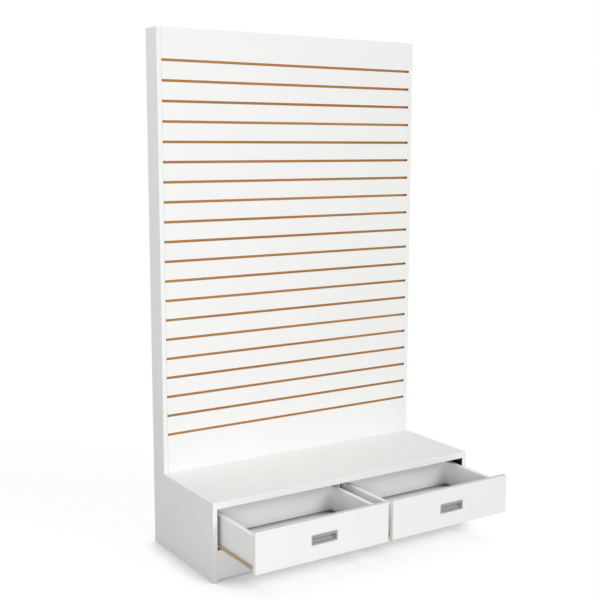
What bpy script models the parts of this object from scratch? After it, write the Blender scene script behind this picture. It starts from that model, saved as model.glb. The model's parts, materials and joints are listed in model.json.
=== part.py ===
"""Slatwall display tower on a low base with two drawers.

A hollow tower of two uprights carries a routed slatwall board. A base cabinet stands against its front,
with a deck on top and two inset drawers that run on roller runners.

Metres, +Z up, the front faces -Y. The origin is on the floor at the middle of the closed footprint,
under the centre divider. The drawers stand part open.
"""

import math

import bmesh
import bpy
from mathutils import Matrix, Vector

# Overall sizes
WIDTH = 1.2192
HEIGHT = 2.032
TOWER_DEPTH = 0.09525
DECK_DEPTH = 0.4064
DECK_HEIGHT = 0.3048

# Boards and their joints
BOARD = 0.01905
DECK_THICKNESS = 0.0254
BACK_THICKNESS = 0.0064
RABBET_WIDTH = 0.0095
JOINT_GAP = 0.0003
ARRIS = 0.0008
ARRIS_SEGMENTS = 2

# T-slots of the slatwall board
SLOT_PITCH = 0.0762
SLOT_TOP_MARGIN = 0.1207
SLOT_DECK_MARGIN = 0.1524
SLOT_MOUTH = 0.0095
SLOT_CAVITY = 0.0222
SLOT_LIP = 0.0056
SLOT_DEPTH = 0.0151
SLOT_EASE = 0.0004

# Base cabinet
KICK_LIFT = 0.0095
KICK_HEIGHT = 0.1129
DIVIDER_SETBACK = 0.076
DIVIDER_STEP_ABOVE_KICK = 0.048

# Drawers
LEFT_TO_GO = 0.015
RIGHT_TO_GO = 0.017
REVEAL = 0.0015
SIDE_SPACE = 0.0127
BOX_LIFT = 0.0056
BOX_TOP_DROP = 0.026
BOX_BACK_CLEARANCE = 0.0445
BOTTOM_THICKNESS = 0.0064
GROOVE_DEPTH = 0.0064
GROOVE_LIFT = 0.019

# Recessed pulls
PULL_WIDTH = 0.112
PULL_HEIGHT = 0.038
PULL_RIM = 0.0065
PULL_BROW = 0.004
PULL_DEPTH = 0.0105
PULL_ROUND = 0.005
PULL_SHEET = 0.0012
PULL_CORNER = 0.003
PULL_EASE = 0.0005
PULL_CORNER_SEGMENTS = 4
PULL_ROUND_SEGMENTS = 5

# Roller runners
RUNNER_SHEET = 0.0012
RUNNER_END_CLEARANCE = 0.0025
CHANNEL_DROP = 0.004
CHANNEL_HEADROOM = 0.0042
CHANNEL_SIDE_CLEARANCE = 0.0012
FOOT_WIDTH = 0.016
TRACK_LIP = 0.003
LIP_CLEARANCE = 0.0006
ROLLER_RADIUS = 0.008
ROLLER_WIDTH = 0.005
ROLLER_CROWN = 0.0005
ROLLER_END = 0.012
ROLLER_GAP = 0.0003
ROLLER_STOP_GAP = 0.00865
PIN_RADIUS = 0.002
PIN_CLEARANCE = 0.00035
PIN_HEAD_RADIUS = 0.0035
PIN_HEAD = 0.0008
ROUND_SEGMENTS = 32

# Levels and planes that follow from the sizes above
FRONT_Y = -(DECK_DEPTH + TOWER_DEPTH) / 2
WALL_Y = FRONT_Y + DECK_DEPTH
BACK_Y = WALL_Y + TOWER_DEPTH
HALF_WIDTH = WIDTH / 2
INNER_HALF = HALF_WIDTH - BOARD
DIVIDER_HALF = BOARD / 2
BASE_BACK_Y = WALL_Y - JOINT_GAP
BASE_PANEL_Y = BASE_BACK_Y - BACK_THICKNESS
DECK_BOTTOM = DECK_HEIGHT - DECK_THICKNESS
KICK_TOP = KICK_LIFT + KICK_HEIGHT

DRAWER_FRONT_BOTTOM = KICK_TOP + REVEAL
DRAWER_FRONT_TOP = DECK_BOTTOM - REVEAL
DRAWER_FRONT_MIDDLE = (DRAWER_FRONT_BOTTOM + DRAWER_FRONT_TOP) / 2
BOX_BOTTOM = KICK_TOP + BOX_LIFT
BOX_TOP = DRAWER_FRONT_TOP - BOX_TOP_DROP
BOX_LENGTH = DECK_DEPTH - JOINT_GAP - BACK_THICKNESS - BOX_BACK_CLEARANCE - BOARD - JOINT_GAP

CHANNEL_FLOOR = BOX_BOTTOM - CHANNEL_DROP
AXLE_Z = CHANNEL_FLOOR + ROLLER_GAP + ROLLER_RADIUS
TRACK_BOTTOM = AXLE_Z + ROLLER_RADIUS + ROLLER_GAP
TRACK_TOP = TRACK_BOTTOM + RUNNER_SHEET
CHANNEL_FRONT_Y = FRONT_Y + BOARD + RUNNER_END_CLEARANCE
CHANNEL_BACK_Y = BASE_PANEL_Y - RUNNER_END_CLEARANCE
AXLE_SPACING_CLOSED = BOX_LENGTH + JOINT_GAP - RUNNER_END_CLEARANCE - 2 * ROLLER_END
DRAWER_TRAVEL = AXLE_SPACING_CLOSED - 2 * ROLLER_RADIUS - ROLLER_STOP_GAP


def clear_scene():
    """Remove every object of the scene that the script starts in."""
    for obj in list(bpy.data.objects):
        bpy.data.objects.remove(obj, do_unlink=True)


def make_material(name, colour, roughness, metallic=0.0):
    """Return a Principled material with a linear RGB colour."""
    material = bpy.data.materials.new(name)
    material.use_nodes = True
    shader = material.node_tree.nodes["Principled BSDF"]
    shader.inputs["Base Color"].default_value = (*colour, 1.0)
    shader.inputs["Roughness"].default_value = roughness
    shader.inputs["Metallic"].default_value = metallic
    material.diffuse_color = (*colour, 1.0)
    return material


def make_materials():
    """Return the finishes of the tower by name."""
    return {
        "white": make_material("white_melamine", (0.84, 0.84, 0.83), 0.45),
        "slatwall": make_material("white_faced_mdf", (0.86, 0.86, 0.85), 0.45),
        "backing": make_material("white_hardboard", (0.78, 0.78, 0.76), 0.6),
        "runner": make_material("almond_epoxy_steel", (0.46, 0.36, 0.24), 0.5),
        "roller": make_material("white_nylon", (0.75, 0.74, 0.70), 0.4),
        "pull": make_material("satin_nickel", (0.36, 0.37, 0.37), 0.35, 1.0),
    }


def add_empty(name, location):
    """Return an empty that carries a moving sub-assembly."""
    empty = bpy.data.objects.new(name, None)
    empty.empty_display_size = 0.05
    empty.location = location
    bpy.context.scene.collection.objects.link(empty)
    return empty


def weigh_outer_edges(bm):
    """Give a bevel weight to the edges that lie on the edges of the mesh's own box."""
    weights = bm.edges.layers.float.new("bevel_weight_edge")
    low = [min(v.co[i] for v in bm.verts) for i in range(3)]
    high = [max(v.co[i] for v in bm.verts) for i in range(3)]
    near = JOINT_GAP / 10
    for edge in bm.edges:
        a, b = (v.co for v in edge.verts)
        on_sides = 0
        for i in range(3):
            for limit in (low[i], high[i]):
                on_sides += abs(a[i] - limit) < near and abs(b[i] - limit) < near
        edge[weights] = float(on_sides >= 2)


def add_object(name, bm, material=None, parent=None, origin=None, eased=False):
    """Turn a bmesh in world coordinates into a named object.

    The object's own origin goes to origin, or to the middle of its box. eased rounds its outer edges.
    """
    bmesh.ops.recalc_face_normals(bm, faces=bm.faces)
    if origin is None:
        low = Vector([min(v.co[i] for v in bm.verts) for i in range(3)])
        high = Vector([max(v.co[i] for v in bm.verts) for i in range(3)])
        origin = (low + high) / 2
    origin = Vector(origin)
    bmesh.ops.translate(bm, verts=bm.verts, vec=-origin)
    if eased:
        weigh_outer_edges(bm)
    mesh = bpy.data.meshes.new(name)
    bm.to_mesh(mesh)
    bm.free()
    obj = bpy.data.objects.new(name, mesh)
    bpy.context.scene.collection.objects.link(obj)
    obj.location = origin
    if parent:
        obj.parent = parent
        obj.location = origin - parent.location
    if material:
        mesh.materials.append(material)
    if eased:
        bevel = obj.modifiers.new("arris", "BEVEL")
        bevel.limit_method = "WEIGHT"
        bevel.width = ARRIS
        bevel.segments = ARRIS_SEGMENTS
    return obj


def add_board(name, x, y, z, material, parent=None):
    """Return a rectangular board that spans the given (low, high) pairs, with eased edges."""
    bm = bmesh.new()
    size = Vector((x[1] - x[0], y[1] - y[0], z[1] - z[0]))
    middle = Vector((sum(x), sum(y), sum(z))) / 2
    bmesh.ops.create_cube(bm, size=1.0, matrix=Matrix.Translation(middle) @ Matrix.Diagonal((*size, 1.0)))
    return add_object(name, bm, material, parent, eased=True)


def prism(outline, axis, start, end):
    """Return a bmesh of an outline drawn in the two other axes, in X, Y, Z order, extruded along axis."""
    bm = bmesh.new()
    corners = []
    for first, second in outline:
        co = [first, second]
        co.insert("XYZ".index(axis), start)
        corners.append(bm.verts.new(co))
    face = bm.faces.new(corners)
    step = Vector([end - start if letter == axis else 0.0 for letter in "XYZ"])
    extruded = bmesh.ops.extrude_face_region(bm, geom=[face])["geom"]
    moved = [part for part in extruded if isinstance(part, bmesh.types.BMVert)]
    bmesh.ops.translate(bm, verts=moved, vec=step)
    return bm


def loft(loops):
    """Return a bmesh that bridges closed loops of as many points each, with its two ends filled."""
    bm = bmesh.new()
    rings = [[bm.verts.new(point) for point in loop] for loop in loops]
    for ring, following in zip(rings, rings[1:]):
        for i, vert in enumerate(ring):
            j = (i + 1) % len(ring)
            bm.faces.new((vert, ring[j], following[j], following[i]))
    bm.faces.new(rings[0])
    bm.faces.new(rings[-1])
    return bm


def turned(profile, x, y, z, closed):
    """Return a bmesh of a (along X, radius) profile turned about a line through (x, y, z) along X.

    A closed profile makes a ring. An open one has its two ends filled.
    """
    angles = [2 * math.pi * i / ROUND_SEGMENTS for i in range(ROUND_SEGMENTS)]
    loops = []
    for along, radius in profile:
        loops.append([(x + along, y + radius * math.cos(a), z + radius * math.sin(a)) for a in angles])
    if not closed:
        return loft(loops)
    bm = bmesh.new()
    rings = [[bm.verts.new(point) for point in loop] for loop in loops]
    for ring, following in zip(rings, rings[1:] + rings[:1]):
        for i, vert in enumerate(ring):
            j = (i + 1) % len(ring)
            bm.faces.new((vert, ring[j], following[j], following[i]))
    return bm


def apply_tool(obj, tool, operation):
    """Cut or join a helper object with a Boolean, and keep the helper out of the model."""
    tool.hide_render = True
    tool.display_type = "WIRE"
    boolean = obj.modifiers.new(operation.lower(), "BOOLEAN")
    boolean.operation = operation
    boolean.solver = "EXACT"
    boolean.object = tool


def slot_heights():
    """Return the middle heights of the T-slots, from the top one down to the last that clears the deck."""
    top = HEIGHT - SLOT_TOP_MARGIN
    room = top - DECK_HEIGHT - SLOT_DECK_MARGIN
    return [top - SLOT_PITCH * i for i in range(math.floor(room / SLOT_PITCH) + 1)]


def slatwall_outline():
    """Return the (y, z) outline of the slatwall board with its T-slots open to the front."""
    mouth = SLOT_MOUTH / 2
    cavity = SLOT_CAVITY / 2
    outline = [(WALL_Y + BOARD, HEIGHT), (WALL_Y + BOARD, 0.0), (WALL_Y, 0.0)]
    for middle in reversed(slot_heights()):
        lower_half = [
            (0.0, mouth + SLOT_EASE),
            (SLOT_EASE, mouth),
            (SLOT_LIP, mouth),
            (SLOT_LIP, cavity),
            (SLOT_DEPTH, cavity),
        ]
        outline += [(WALL_Y + depth, middle - half) for depth, half in lower_half]
        outline += [(WALL_Y + depth, middle + half) for depth, half in reversed(lower_half)]
    outline.append((WALL_Y, HEIGHT))
    return outline


def add_upright(name, side, material):
    """Return a full-height side board with a rabbet for the back panel. side is -1 for left, 1 for right."""
    rabbet_y = BACK_Y - BACK_THICKNESS - JOINT_GAP
    outline = [
        (HALF_WIDTH, WALL_Y),
        (HALF_WIDTH, BACK_Y),
        (INNER_HALF + RABBET_WIDTH, BACK_Y),
        (INNER_HALF + RABBET_WIDTH, rabbet_y),
        (INNER_HALF, rabbet_y),
        (INNER_HALF, WALL_Y),
    ]
    bm = prism([(side * x, y) for x, y in outline], "Z", 0.0, HEIGHT)
    return add_object(name, bm, material, eased=True)


def add_tower(materials):
    """Make the hollow tower: uprights, slatwall board, cross boards and back panel."""
    white = materials["white"]
    add_upright("left_upright", -1, white)
    add_upright("right_upright", 1, white)
    between = INNER_HALF - JOINT_GAP
    add_object("slatwall_panel", prism(slatwall_outline(), "X", -between, between), materials["slatwall"])
    across = (-between, between)
    inside = (WALL_Y + BOARD + JOINT_GAP, BACK_Y - BACK_THICKNESS - JOINT_GAP)
    cross_boards = ("tower_bottom_plate", "tower_lower_stretcher", "tower_upper_stretcher", "tower_top_cap")
    spacing = (HEIGHT - BOARD) / (len(cross_boards) - 1)
    for i, name in enumerate(cross_boards):
        bottom = spacing * i
        add_board(name, across, inside, (bottom, bottom + BOARD), white)
    panel_half = INNER_HALF + RABBET_WIDTH - JOINT_GAP
    panel_y = (BACK_Y - BACK_THICKNESS, BACK_Y)
    add_board("tower_back_panel", (-panel_half, panel_half), panel_y, (0.0, HEIGHT), materials["backing"])


def divider_outline():
    """Return the (y, z) outline of the centre divider, cut back above the runners at its front."""
    front = FRONT_Y + BOARD + JOINT_GAP
    back = BASE_PANEL_Y - JOINT_GAP
    top = DECK_BOTTOM - JOINT_GAP
    step = KICK_TOP + DIVIDER_STEP_ABOVE_KICK
    cut = FRONT_Y + DIVIDER_SETBACK
    return [(front, 0.0), (back, 0.0), (back, top), (cut, top), (cut, step), (front, step)]


def add_base(materials):
    """Make the base cabinet: sides, deck, kick rail, centre divider and back panel."""
    white = materials["white"]
    between = (-INNER_HALF + JOINT_GAP, INNER_HALF - JOINT_GAP)
    depth = (FRONT_Y, BASE_BACK_Y)
    under_deck = DECK_BOTTOM - JOINT_GAP
    add_board("base_left_side", (-HALF_WIDTH, -INNER_HALF), depth, (0.0, under_deck), white)
    add_board("base_right_side", (INNER_HALF, HALF_WIDTH), depth, (0.0, under_deck), white)
    add_board("base_deck", (-HALF_WIDTH, HALF_WIDTH), depth, (DECK_BOTTOM, DECK_HEIGHT), white)
    add_board("base_kick_rail", between, (FRONT_Y, FRONT_Y + BOARD), (KICK_LIFT, KICK_TOP), white)
    panel_y = (BASE_PANEL_Y, BASE_BACK_Y)
    add_board("base_back_panel", between, panel_y, (KICK_LIFT, under_deck), materials["backing"])
    divider = prism(divider_outline(), "X", -DIVIDER_HALF, DIVIDER_HALF)
    add_object("base_centre_divider", divider, white)


def rounded_rectangle(width, height, corner, middle, y):
    """Return the points of a rectangle with round corners in the plane y, about the middle (x, z)."""
    points = []
    for quarter, (right, up) in enumerate(((1, 1), (-1, 1), (-1, -1), (1, -1))):
        for i in range(PULL_CORNER_SEGMENTS + 1):
            angle = math.pi / 2 * (quarter + i / PULL_CORNER_SEGMENTS)
            x = middle[0] + right * (width / 2 - corner) + corner * math.cos(angle)
            z = middle[1] + up * (height / 2 - corner) + corner * math.sin(angle)
            points.append((x, y, z))
    return points


def pull_loop(inset, middle, y, brow=0.0):
    """Return a rounded rectangle at depth y, set in from the pull's edge and by brow more at its top."""
    across, up = middle
    size = (PULL_WIDTH - 2 * inset, PULL_HEIGHT - 2 * inset - brow)
    return rounded_rectangle(*size, PULL_CORNER, (across, up - brow / 2), y)


def cup_loops(rim, middle, mouth, floor):
    """Return the loops of a dished cup from its floor out to its mouth, which lies rim inside the edge."""
    loops = []
    for i in range(PULL_ROUND_SEGMENTS + 1):
        angle = math.pi / 2 * (1 - i / PULL_ROUND_SEGMENTS)
        inset = rim + PULL_ROUND * (1 - math.cos(angle))
        loops.append(pull_loop(inset, middle, mouth + (floor - mouth) * math.sin(angle), PULL_BROW))
    return loops


def add_pull(name, middle, face_y, material, parent):
    """Return a pressed cup with a thin flange on the drawer front's face at face_y."""
    back = face_y - JOINT_GAP
    front = back - PULL_SHEET
    floor = face_y + PULL_DEPTH
    inside = cup_loops(PULL_RIM, middle, front, floor)
    flange = [
        pull_loop(PULL_EASE, middle, front),
        pull_loop(0.0, middle, front + PULL_EASE),
        pull_loop(0.0, middle, back),
    ]
    outside = cup_loops(PULL_RIM - PULL_SHEET, middle, back, floor + PULL_SHEET)
    return add_object(name, loft(inside + flange + outside[::-1]), material, parent)


def add_drawer_front(name, x, face_y, material, parent):
    """Return a drawer front with a blind pocket for the pull's cup."""
    front = add_board(
        name, x, (face_y, face_y + BOARD), (DRAWER_FRONT_BOTTOM, DRAWER_FRONT_TOP), material, parent
    )
    middle = (sum(x) / 2, DRAWER_FRONT_MIDDLE)
    inset = PULL_RIM - PULL_SHEET - JOINT_GAP
    pocket_floor = face_y + PULL_DEPTH + PULL_SHEET + JOINT_GAP
    loops = [pull_loop(inset, middle, y, PULL_BROW) for y in (face_y - BOARD, pocket_floor)]
    pocket = add_object(name + "_pocket", loft(loops), parent=parent)
    apply_tool(front, pocket, "DIFFERENCE")
    return middle


def grooved_outline(outer, inner):
    """Return the (across, z) outline of a box wall with a groove for the bottom panel in its inner face."""
    into = math.copysign(GROOVE_DEPTH, outer - inner)
    groove_bottom = BOX_BOTTOM + GROOVE_LIFT
    groove_top = groove_bottom + BOTTOM_THICKNESS + 2 * JOINT_GAP
    return [
        (outer, BOX_BOTTOM),
        (inner, BOX_BOTTOM),
        (inner, groove_bottom),
        (inner + into, groove_bottom),
        (inner + into, groove_top),
        (inner, groove_top),
        (inner, BOX_TOP),
        (outer, BOX_TOP),
    ]


def add_drawer_box(drawer, x, front_y, materials, parent):
    """Make the box behind a drawer front: two sides, inner front, back and a bottom panel in grooves."""
    white = materials["white"]
    back_y = front_y + BOX_LENGTH
    left_inner = x[0] + BOARD
    right_inner = x[1] - BOARD
    for side, outer, inner in (("left", x[0], left_inner), ("right", x[1], right_inner)):
        wall = prism(grooved_outline(outer, inner), "Y", front_y, back_y)
        add_object(f"{drawer}_{side}_side", wall, white, parent, eased=True)
    across = (left_inner + JOINT_GAP, right_inner - JOINT_GAP)
    front_inner = front_y + BOARD
    back_inner = back_y - BOARD
    for wall_name, outer, inner in (("inner_front", front_y, front_inner), ("back", back_y, back_inner)):
        wall = prism(grooved_outline(outer, inner), "X", *across)
        add_object(f"{drawer}_{wall_name}", wall, white, parent, eased=True)
    reach = GROOVE_DEPTH - JOINT_GAP
    bottom_z = BOX_BOTTOM + GROOVE_LIFT + JOINT_GAP
    add_board(
        f"{drawer}_bottom",
        (left_inner - reach, right_inner + reach),
        (front_inner - reach, back_inner + reach),
        (bottom_z, bottom_z + BOTTOM_THICKNESS),
        materials["backing"],
        parent,
    )


def runner_sections():
    """Return the (from carcass face, z) outlines of the cabinet runner and the drawer runner."""
    web = JOINT_GAP + RUNNER_SHEET
    angle_web = SIDE_SPACE - JOINT_GAP - RUNNER_SHEET
    reach = angle_web - CHANNEL_SIDE_CLEARANCE
    ceiling = TRACK_TOP + CHANNEL_HEADROOM
    channel = [
        (JOINT_GAP, CHANNEL_FLOOR - RUNNER_SHEET),
        (reach, CHANNEL_FLOOR - RUNNER_SHEET),
        (reach, CHANNEL_FLOOR),
        (web, CHANNEL_FLOOR),
        (web, ceiling),
        (reach, ceiling),
        (reach, ceiling + RUNNER_SHEET),
        (JOINT_GAP, ceiling + RUNNER_SHEET),
    ]
    lip = roller_span()[0] - LIP_CLEARANCE
    foot_top = BOX_BOTTOM - JOINT_GAP
    foot_end = SIDE_SPACE + FOOT_WIDTH
    angle = [
        (foot_end, foot_top - RUNNER_SHEET),
        (angle_web, foot_top - RUNNER_SHEET),
        (angle_web, TRACK_BOTTOM),
        (lip, TRACK_BOTTOM),
        (lip, TRACK_BOTTOM - TRACK_LIP),
        (lip - RUNNER_SHEET, TRACK_BOTTOM - TRACK_LIP),
        (lip - RUNNER_SHEET, TRACK_TOP),
        (SIDE_SPACE - JOINT_GAP, TRACK_TOP),
        (SIDE_SPACE - JOINT_GAP, foot_top),
        (foot_end, foot_top),
    ]
    return channel, angle


def roller_span():
    """Return how far a roller's two sides stand from the carcass face, midway between the two runners."""
    middle = SIDE_SPACE / 2
    return middle - ROLLER_WIDTH / 2, middle + ROLLER_WIDTH / 2


def add_pin(runner, start, head, place, into, parent):
    """Join a headed pin to a runner. start and head are distances from the carcass face."""
    outward = math.copysign(1.0, head - start)
    profile = [
        (start, PIN_RADIUS),
        (head, PIN_RADIUS),
        (head, PIN_HEAD_RADIUS),
        (head + outward * PIN_HEAD, PIN_HEAD_RADIUS),
    ]
    face_x, y = place
    bm = turned([(into * along, radius) for along, radius in profile], face_x, y, AXLE_Z, closed=False)
    pin = add_object(runner.name + "_pin", bm, parent=parent)
    apply_tool(runner, pin, "UNION")


def add_roller(name, place, into, material, parent):
    """Return a nylon roller with its origin on its axle."""
    near, far = roller_span()
    bore = PIN_RADIUS + PIN_CLEARANCE
    profile = [
        (near, bore),
        (near, ROLLER_RADIUS - ROLLER_CROWN),
        (near + ROLLER_CROWN, ROLLER_RADIUS),
        (far - ROLLER_CROWN, ROLLER_RADIUS),
        (far, ROLLER_RADIUS - ROLLER_CROWN),
        (far, bore),
    ]
    face_x, y = place
    bm = turned([(into * along, radius) for along, radius in profile], face_x, y, AXLE_Z, closed=True)
    axle = (face_x + into * SIDE_SPACE / 2, y, AXLE_Z)
    roller = add_object(name, bm, material, parent, origin=axle)
    roller.data.shade_smooth()
    roller.data.set_sharp_from_angle(angle=math.radians(30))


def add_runner_set(name, face_x, into, front_y, materials, slide):
    """Make one side's runners: a channel on the carcass, an angle on the drawer and a roller on each.

    face_x is the carcass face, into points from it to the drawer and front_y is the back of the drawer front.
    """
    channel, angle = runner_sections()
    near, far = roller_span()
    steel = materials["runner"]

    cabinet_bm = prism([(face_x + into * u, z) for u, z in channel], "Y", CHANNEL_FRONT_Y, CHANNEL_BACK_Y)
    cabinet = add_object(f"{name}_cabinet_runner", cabinet_bm, steel)
    front_place = (face_x, CHANNEL_FRONT_Y + ROLLER_END)
    pin_start = JOINT_GAP + RUNNER_SHEET / 2
    add_pin(cabinet, pin_start, far + JOINT_GAP, front_place, into, None)
    add_roller(f"{name}_front_roller", front_place, into, materials["roller"], None)

    back_y = front_y + BOX_LENGTH
    angle_y = (front_y + JOINT_GAP, back_y)
    drawer_bm = prism([(face_x + into * u, z) for u, z in angle], "Y", *angle_y)
    on_drawer = add_object(f"{name}_drawer_runner", drawer_bm, steel, slide)
    rear_place = (face_x, back_y - ROLLER_END)
    pin_start = SIDE_SPACE - JOINT_GAP - RUNNER_SHEET / 2
    add_pin(on_drawer, pin_start, near - JOINT_GAP, rear_place, into, slide)
    add_roller(f"{name}_rear_roller", rear_place, into, materials["roller"], slide)


def add_drawer(drawer, side, opened, materials):
    """Make one drawer with its runners. side is -1 for the left drawer and 1 for the right one."""
    face_y = FRONT_Y - opened
    front_x = sorted((side * (DIVIDER_HALF + REVEAL), side * (INNER_HALF - REVEAL)))
    slide = add_empty(f"{drawer}_slide", (sum(front_x) / 2, face_y, DRAWER_FRONT_MIDDLE))
    middle = add_drawer_front(f"{drawer}_front", front_x, face_y, materials["white"], slide)
    add_pull(f"{drawer}_pull", middle, face_y, materials["pull"], slide)
    box_x = sorted((side * (DIVIDER_HALF + SIDE_SPACE), side * (INNER_HALF - SIDE_SPACE)))
    front_back_y = face_y + BOARD + JOINT_GAP
    add_drawer_box(drawer, box_x, front_back_y, materials, slide)
    add_runner_set(f"{drawer}_outer", side * INNER_HALF, -side, front_back_y, materials, slide)
    add_runner_set(f"{drawer}_inner", side * DIVIDER_HALF, side, front_back_y, materials, slide)


def main():
    """Build the whole tower in an empty scene."""
    clear_scene()
    materials = make_materials()
    add_tower(materials)
    add_base(materials)
    add_drawer("left_drawer", -1, DRAWER_TRAVEL - LEFT_TO_GO, materials)
    add_drawer("right_drawer", 1, DRAWER_TRAVEL - RIGHT_TO_GO, materials)


main()
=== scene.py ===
"""Looks of a slatwall display tower: its finishes, small fasteners, light and camera.

The CAD frame gives every board, drawer, runner and pull at its real size. This script paints each board
with what the real one shows on each of its sides, remakes the pressed pulls and the moulded rollers with
their rounded forms, adds the screws, and sets a plain studio.

Lengths are metres unless a name ends in _mm, angles are degrees where a name ends in _deg, and colours
are sRGB hex values. The front of the tower faces -Y and +X is to its right.
"""

from __future__ import annotations

import json
import logging
import math
from dataclasses import dataclass, field
from enum import Enum
from typing import Any, Callable, Iterable, Sequence

import bmesh
import bpy
from mathutils import Matrix, Vector

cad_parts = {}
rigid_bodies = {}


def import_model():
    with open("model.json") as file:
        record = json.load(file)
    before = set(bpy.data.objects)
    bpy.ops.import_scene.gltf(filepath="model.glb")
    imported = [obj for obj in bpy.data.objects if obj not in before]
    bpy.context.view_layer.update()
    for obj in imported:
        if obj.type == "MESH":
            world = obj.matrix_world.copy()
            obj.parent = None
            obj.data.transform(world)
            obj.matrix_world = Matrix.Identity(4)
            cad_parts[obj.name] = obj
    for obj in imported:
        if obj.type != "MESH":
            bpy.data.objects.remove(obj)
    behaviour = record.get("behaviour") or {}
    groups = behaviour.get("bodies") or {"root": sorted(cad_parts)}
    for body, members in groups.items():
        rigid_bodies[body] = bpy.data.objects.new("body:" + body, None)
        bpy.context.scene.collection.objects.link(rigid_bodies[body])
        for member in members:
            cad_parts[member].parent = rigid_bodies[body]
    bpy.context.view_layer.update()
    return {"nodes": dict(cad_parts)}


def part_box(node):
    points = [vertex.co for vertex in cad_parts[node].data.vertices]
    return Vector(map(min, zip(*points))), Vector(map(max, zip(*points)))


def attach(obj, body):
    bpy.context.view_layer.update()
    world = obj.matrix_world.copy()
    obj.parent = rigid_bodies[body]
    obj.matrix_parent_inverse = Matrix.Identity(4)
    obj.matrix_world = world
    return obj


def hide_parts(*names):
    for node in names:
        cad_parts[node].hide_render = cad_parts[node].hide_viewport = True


Tree = bpy.types.NodeTree
Socket = bpy.types.NodeSocket
Inputs = dict[str | int, Any]

LOG = logging.getLogger("tower")
FRAME_BODY = "frame"
SMOOTH_ANGLE_DEG = 35.0
MM = 0.001
WHITE = (1.0, 1.0, 1.0, 1.0)
QUARTER_TURN = math.pi / 2

# A face belongs to a side of its node's box if it lies this close to it and faces its way this nearly.
ON_SIDE = 0.0001
FACING = 0.9

# The length after which Blender's wave texture repeats at a scale of one.
WAVE_LENGTH = math.pi / 10


class Side(Enum):
    """The six sides of a board, each with the direction that it faces."""

    LEFT = (-1, 0, 0)
    RIGHT = (1, 0, 0)
    FRONT = (0, -1, 0)
    BACK = (0, 1, 0)
    UNDER = (0, 0, -1)
    TOP = (0, 0, 1)


class Hand(Enum):
    """Which of the two drawers."""

    LEFT = "left"
    RIGHT = "right"

    @property
    def drawer(self) -> str:
        """Name of this drawer's body, which its nodes' names start with."""
        return f"{self.value}_drawer"


class Place(Enum):
    """Which runner of a drawer: against the cabinet side or against the centre divider."""

    OUTER = "outer"
    INNER = "inner"


def linear(colour: str) -> tuple[float, float, float, float]:
    """Turn an sRGB hex colour into linear RGBA.

    Args:
        colour: Six hex digits after a hash sign.

    Returns:
        Red, green, blue and an alpha of one.
    """
    parts = [int(colour[i : i + 2], 16) / 255 for i in (1, 3, 5)]
    red, green, blue = (c / 12.92 if c <= 0.04045 else ((c + 0.055) / 1.055) ** 2.4 for c in parts)
    return red, green, blue, 1.0


def sized(place: Socket, size_mm: float) -> Inputs:
    """Return the inputs of a texture whose features are about this many millimetres across."""
    return {"Vector": place, "Scale": 1.0 / (size_mm * MM)}


def feed(tree: Tree, node: bpy.types.Node, inputs: Inputs) -> None:
    """Set a node's inputs.

    Args:
        tree: The tree that holds the node.
        node: The node.
        inputs: Socket name or number to a value, or to an output socket that is linked to it.
    """
    for key, value in inputs.items():
        if isinstance(key, int):
            socket = node.inputs[key]
        else:
            socket = next(s for s in node.inputs if s.name == key and not s.is_unavailable)
        if isinstance(value, Socket):
            tree.links.new(value, socket)
        else:
            socket.default_value = value


def add_node(
    tree: Tree,
    kind: str,
    inputs: Inputs | None = None,
    output: str | None = None,
    **settings: Any,
) -> Socket | None:
    """Add a node, set its properties and fill its inputs.

    Args:
        tree: The tree that takes the node.
        kind: Blender's name for the node's type.
        inputs: What goes into its inputs, as feed takes it.
        output: Name of the output to return. Without it, the first that the settings leave in use.
        **settings: Properties of the node.

    Returns:
        The output socket, whose node is the new one, or nothing where the node has none.
    """
    node = tree.nodes.new(kind)
    for name, value in settings.items():
        setattr(node, name, value)
    feed(tree, node, inputs or {})
    return next((s for s in node.outputs if not s.is_unavailable and output in (None, s.name)), None)


def put(name: str, data: bpy.types.ID) -> bpy.types.Object:
    """Put a new object into the scene.

    Args:
        name: Its name.
        data: Its mesh, lamp or camera.

    Returns:
        The object, at the origin.
    """
    thing = bpy.data.objects.new(name, data)
    bpy.context.scene.collection.objects.link(thing)
    return thing


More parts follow.
